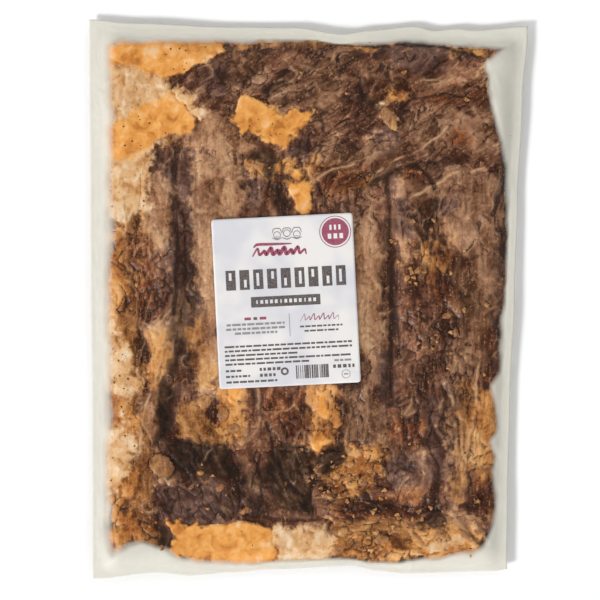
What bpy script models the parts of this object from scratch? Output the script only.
"""A flat vacuum pouch of cooked spareribs with a paper label on its upper side.

The pouch lies on its back. Its frame has +Z up and +Y towards the pouch's top edge, and the origin is
at the bottom centre of its bounding box. The sealed pouch and its filling are one solid: a seal margin
runs round a flat pad whose upper side shows the ridges of the bones, the gap between the two racks and
the thicker slab across the top. The label is a thin sheet of paper that follows the upper side.
"""

import math

import bmesh
import bpy
from mathutils import Matrix, Vector, noise

MM = 0.001

WIDTH = 312.0  # millimetres, between the bag's furthest corners
LENGTH = 398.0

# The bag's cut edges, in millimetres: how far out each edge is along its length.
LEFT_EDGE = [(-199, -153.6), (-72, -153.9), (0, -154.8), (70, -155.2), (199, -156)]
RIGHT_EDGE = [(-192, 141.3), (-143, 142), (-72, 143.6), (0, 146.8), (70, 149), (146, 152.4), (194, 156)]
TOP_EDGE = [
    (-156, 199), (-122, 196.4), (-56, 193.8), (-10, 193.3), (25, 188.6), (44, 191.3),
    (75, 194.2), (90, 191.3), (106, 192.6), (118, 191.4), (156, 194),
]
BOTTOM_EDGE = [
    (-154, -199), (-107, -194.6), (-84, -196.6), (-57, -194.6), (-24, -192.2), (30, -189.8),
    (50, -193.4), (68, -195.1), (133, -193.5), (142, -192),
]

# The flat margins between the cut edges and the filling.
SEAL_LEFT = 8.5
SEAL_RIGHT = 6.0
SEAL_TOP = 8.0
SEAL_BOTTOM = 4.5
SEAL_HEIGHT = 5.0  # the margin's mean height above the table
SEAL_THICKNESS = 0.4  # both films, welded
SEAL_WAVE = 1.1  # how far the free margin waves up and down

PAD_HEIGHT = 13.3  # the filling's mean thickness before ridges and slabs
PAD_CROWN = 1.8  # extra height in the middle
PAD_SHOULDER = 15.0  # the width over which the film climbs from the margin to the top
PAD_CORNER = 8.0  # the filling's corner radius
FOOT_INSET = 9.0  # how far the flat foot stays inside the filling's outline
FOOT_BULGE = 0.035  # how much each side of the foot curves out
LUMP_HEIGHT = 1.1
LUMP_LENGTH = 34.0

# Ridges over bones and grooves between them run along Y:
# middle x, lean (x per y), half width, height, lowest y, highest y.
RIDGES = {
    "outer_bone": (-108, 0.06, 12, 2.4, -125, 110),
    "second_bone": (-71, 0.02, 9, 2.0, -60, 118),
    "third_bone": (-48, 0.0, 9, 1.5, -115, 98),
    "fourth_bone": (12, 0.0, 10, 1.8, -118, 62),
    "fifth_bone": (45, 0.0, 10, 2.2, -112, 66),
    "sixth_bone": (80, 0.0, 12, 2.2, -152, 70),
    "seventh_bone": (106, 0.02, 11, 1.6, -150, 82),
    "edge_roll": (129, 0.04, 9, 1.3, -140, 95),
    "left_groove": (-89, 0.03, 8, -2.4, -105, 115),
    "middle_groove": (-33, 0.0, 7, -1.5, 60, 100),
    "rack_gap": (58, 0.0, 7, -3.6, -142, 88),
}

# Raised or sunken fields: middle x, middle y, half width, half length, height.
FIELDS = {
    "upper_slab": (34, 122, 118, 56, 2.4),
    "lower_meat": (-54, -128, 56, 34, 1.7),
    "lower_fat": (20, -168, 112, 18, -1.0),
    "corner_fat": (-102, 172, 44, 18, -1.6),
    "left_fat": (-126, 30, 20, 150, -2.0),
}

LABEL_WIDTH = 100.0
LABEL_LENGTH = 120.0
LABEL_CENTRE = (-15.9, -1.4)
LABEL_TURN = 2.9  # degrees, counter-clockwise
LABEL_THICKNESS = 0.3
LABEL_GAP = 0.3
LABEL_CELLS = (10, 12)
LABEL_BED = 17.2  # height of the even bed that the label presses flat
LABEL_BED_TILT = -0.004
LABEL_BED_BLEND = 12.0

CELLS_ACROSS = 44
CELLS_ALONG = 56


def smooth(value, low, high):
    """0 below low, 1 above high, and an S-curve between them."""
    t = min(max((value - low) / (high - low), 0.0), 1.0)
    return t * t * (3 - 2 * t)


def along(points, at):
    """The height of an edge at one place, eased between the points it is given by."""
    if at <= points[0][0]:
        return points[0][1]
    for (x0, y0), (x1, y1) in zip(points, points[1:]):
        if at <= x1:
            return y0 + (y1 - y0) * smooth(at, x0, x1)
    return points[-1][1]


def place(across, up):
    """A point of the bag's plan. across and up run from 0 to 1 between the cut edges."""
    level = LENGTH * (up - 0.5)
    x = along(LEFT_EDGE, level) * (1 - across) + along(RIGHT_EDGE, level) * across
    y = along(BOTTOM_EDGE, x) * (1 - up) + along(TOP_EDGE, x) * up
    return x, y


def station(index, cells, length, first_margin, last_margin):
    """Where a grid line lies from 0 to 1: the first and the last cell are the seal margins."""
    if index == 0:
        return 0.0
    if index == cells:
        return 1.0
    between = 1 - (first_margin + last_margin) / length
    return first_margin / length + between * (index - 1) / (cells - 2)


def depth_inside(x, y):
    """How far a point is inside the filling's outline, with round corners."""
    from_side = min(x - along(LEFT_EDGE, y) - SEAL_LEFT, along(RIGHT_EDGE, y) - x - SEAL_RIGHT)
    from_end = min(y - along(BOTTOM_EDGE, x) - SEAL_BOTTOM, along(TOP_EDGE, x) - y - SEAL_TOP)
    if from_side < PAD_CORNER and from_end < PAD_CORNER:
        return PAD_CORNER - math.hypot(PAD_CORNER - from_side, PAD_CORNER - from_end)
    return min(from_side, from_end)


def seal_height(x, y):
    """The free margin's wavy height."""
    wave = math.sin(x / 21 + 0.6) + math.sin(y / 26 + 1.9)
    return SEAL_HEIGHT + SEAL_WAVE * 0.5 * wave


def ridge(x, y, middle, lean, half_width, height, low, high):
    aside = abs(x - middle - lean * y) / half_width
    if aside >= 1:
        return 0.0
    ends = smooth(y, low - 12, low + 12) * (1 - smooth(y, high - 12, high + 12))
    return height * ends * 0.5 * (1 + math.cos(math.pi * aside))


def field(x, y, middle_x, middle_y, half_width, half_length, height):
    across = 1 - smooth(abs(x - middle_x), half_width - 9, half_width + 9)
    up = 1 - smooth(abs(y - middle_y), half_length - 9, half_length + 9)
    return height * across * up


def label_share(x, y):
    """1 under the label, 0 well outside it."""
    turn = math.radians(LABEL_TURN)
    dx = x - LABEL_CENTRE[0]
    dy = y - LABEL_CENTRE[1]
    across = abs(dx * math.cos(turn) + dy * math.sin(turn)) - LABEL_WIDTH / 2
    up = abs(dy * math.cos(turn) - dx * math.sin(turn)) - LABEL_LENGTH / 2
    return 1 - smooth(max(across, up), 2, LABEL_BED_BLEND)


def label_bed(x, y):
    """The even, slightly crowned surface that the label lies on."""
    crown = 1 - (2 * x / WIDTH) ** 2 - (1.5 * y / LENGTH) ** 2
    return LABEL_BED + PAD_CROWN * 0.4 * crown + LABEL_BED_TILT * y


def top_height(x, y):
    """The pouch's upper side, in millimetres above the table."""
    depth = depth_inside(x, y)
    margin = seal_height(x, y)
    if depth <= 0:
        return margin
    pad = PAD_HEIGHT + PAD_CROWN * (1 - (2 * x / WIDTH) ** 2) * (1 - (2 * y / LENGTH) ** 2)
    pad += sum(ridge(x, y, *numbers) for numbers in RIDGES.values())
    pad += sum(field(x, y, *numbers) for numbers in FIELDS.values())
    pad += LUMP_HEIGHT * noise.noise(Vector((x / LUMP_LENGTH, y / LUMP_LENGTH, 0.7)))
    share = label_share(x, y)
    pad = pad * (1 - share) + label_bed(x, y) * share
    climb = min(depth / PAD_SHOULDER, 1.0)
    return margin + (pad - margin) * math.sqrt(1 - (1 - climb) ** 2)


def material(name, colour, roughness, metallic=0.0):
    made = bpy.data.materials.new(name)
    made.use_nodes = True
    shader = made.node_tree.nodes["Principled BSDF"]
    shader.inputs["Base Color"].default_value = (*colour, 1)
    shader.inputs["Roughness"].default_value = roughness
    shader.inputs["Metallic"].default_value = metallic
    made.diffuse_color = (*colour, 1)
    return made


def new_object(name, bm, finish):
    mesh = bpy.data.meshes.new(name)
    bm.to_mesh(mesh)
    bm.free()
    mesh.materials.append(finish)
    made = bpy.data.objects.new(name, mesh)
    bpy.context.collection.objects.link(made)
    return made


def foot_point(across, up):
    """A point of the flat foot: the plan is pulled in towards each corner, so that its sides curve."""
    x, y = place(across, up)
    pull_x = 1 - FOOT_BULGE * (2 * y / LENGTH) ** 2
    pull_y = 1 - FOOT_BULGE * (2 * x / WIDTH) ** 2
    return x * pull_x, y * pull_y


def make_pouch():
    bm = bmesh.new()
    bmesh.ops.create_grid(bm, x_segments=CELLS_ACROSS, y_segments=CELLS_ALONG, size=1)
    plan = {}
    for vert in bm.verts:
        column = round((vert.co.x + 1) / 2 * CELLS_ACROSS)
        row = round((vert.co.y + 1) / 2 * CELLS_ALONG)
        across = station(column, CELLS_ACROSS, WIDTH, SEAL_LEFT, SEAL_RIGHT)
        up = station(row, CELLS_ALONG, LENGTH, SEAL_BOTTOM, SEAL_TOP)
        plan[vert] = (across, up)
        x, y = place(across, up)
        vert.co = Vector((x, y, top_height(x, y))) * MM

    # The underside grows from the cut edge in rings, each a smaller copy of the one before: how far
    # it stays inside the filling's outline, its share of the margin's height, and a lift.
    rings = [
        (None, 1.0, -SEAL_THICKNESS),
        (0.0, 1.0, -SEAL_THICKNESS),
        (FOOT_INSET * 0.35, 0.36, 0.0),
        (FOOT_INSET, 0.0, 0.0),
    ]
    edges = [edge for edge in bm.edges if edge.is_boundary]
    for inset, share_of_height, lift in rings:
        near = {}
        for edge in edges:
            for vert in edge.verts:
                near[vert.co.copy().freeze()] = plan[vert]
        grown = bmesh.ops.extrude_edge_only(bm, edges=edges)["geom"]
        edges = [item for item in grown if isinstance(item, bmesh.types.BMEdge)]
        for vert in [item for item in grown if isinstance(item, bmesh.types.BMVert)]:
            across, up = near[vert.co.copy().freeze()]
            plan[vert] = (across, up)
            in_across, in_up = across, up
            if inset is not None:
                left, right = SEAL_LEFT + inset, SEAL_RIGHT + inset
                bottom, top = SEAL_BOTTOM + inset, SEAL_TOP + inset
                in_across = left / WIDTH + across * (1 - (left + right) / WIDTH)
                in_up = bottom / LENGTH + up * (1 - (bottom + top) / LENGTH)
            flat = share_of_height == 0.0
            x, y = foot_point(in_across, in_up) if flat else place(in_across, in_up)
            vert.co = Vector((x, y, seal_height(x, y) * share_of_height + lift)) * MM
    bmesh.ops.triangle_fill(bm, use_beauty=True, use_dissolve=False, edges=edges)
    bmesh.ops.recalc_face_normals(bm, faces=bm.faces)
    return new_object("pouch", bm, material("pouch_finish", (0.25, 0.14, 0.08), 0.25))


def make_label():
    bm = bmesh.new()
    bmesh.ops.create_grid(bm, x_segments=LABEL_CELLS[0], y_segments=LABEL_CELLS[1], size=0.5)
    turn = Matrix.Rotation(math.radians(LABEL_TURN), 2)
    for vert in bm.verts:
        flat = turn @ Vector((vert.co.x * LABEL_WIDTH, vert.co.y * LABEL_LENGTH))
        x = flat.x + LABEL_CENTRE[0]
        y = flat.y + LABEL_CENTRE[1]
        vert.co = Vector((x, y, label_bed(x, y) + LABEL_GAP)) * MM
    label = new_object("label", bm, material("label_paper", (0.8, 0.79, 0.77), 0.5))
    paper = label.modifiers.new("paper", "SOLIDIFY")
    paper.thickness = LABEL_THICKNESS * MM
    paper.offset = 1.0
    return label


def main():
    for old in list(bpy.data.objects):
        bpy.data.objects.remove(old)
    make_pouch()
    make_label()


main()
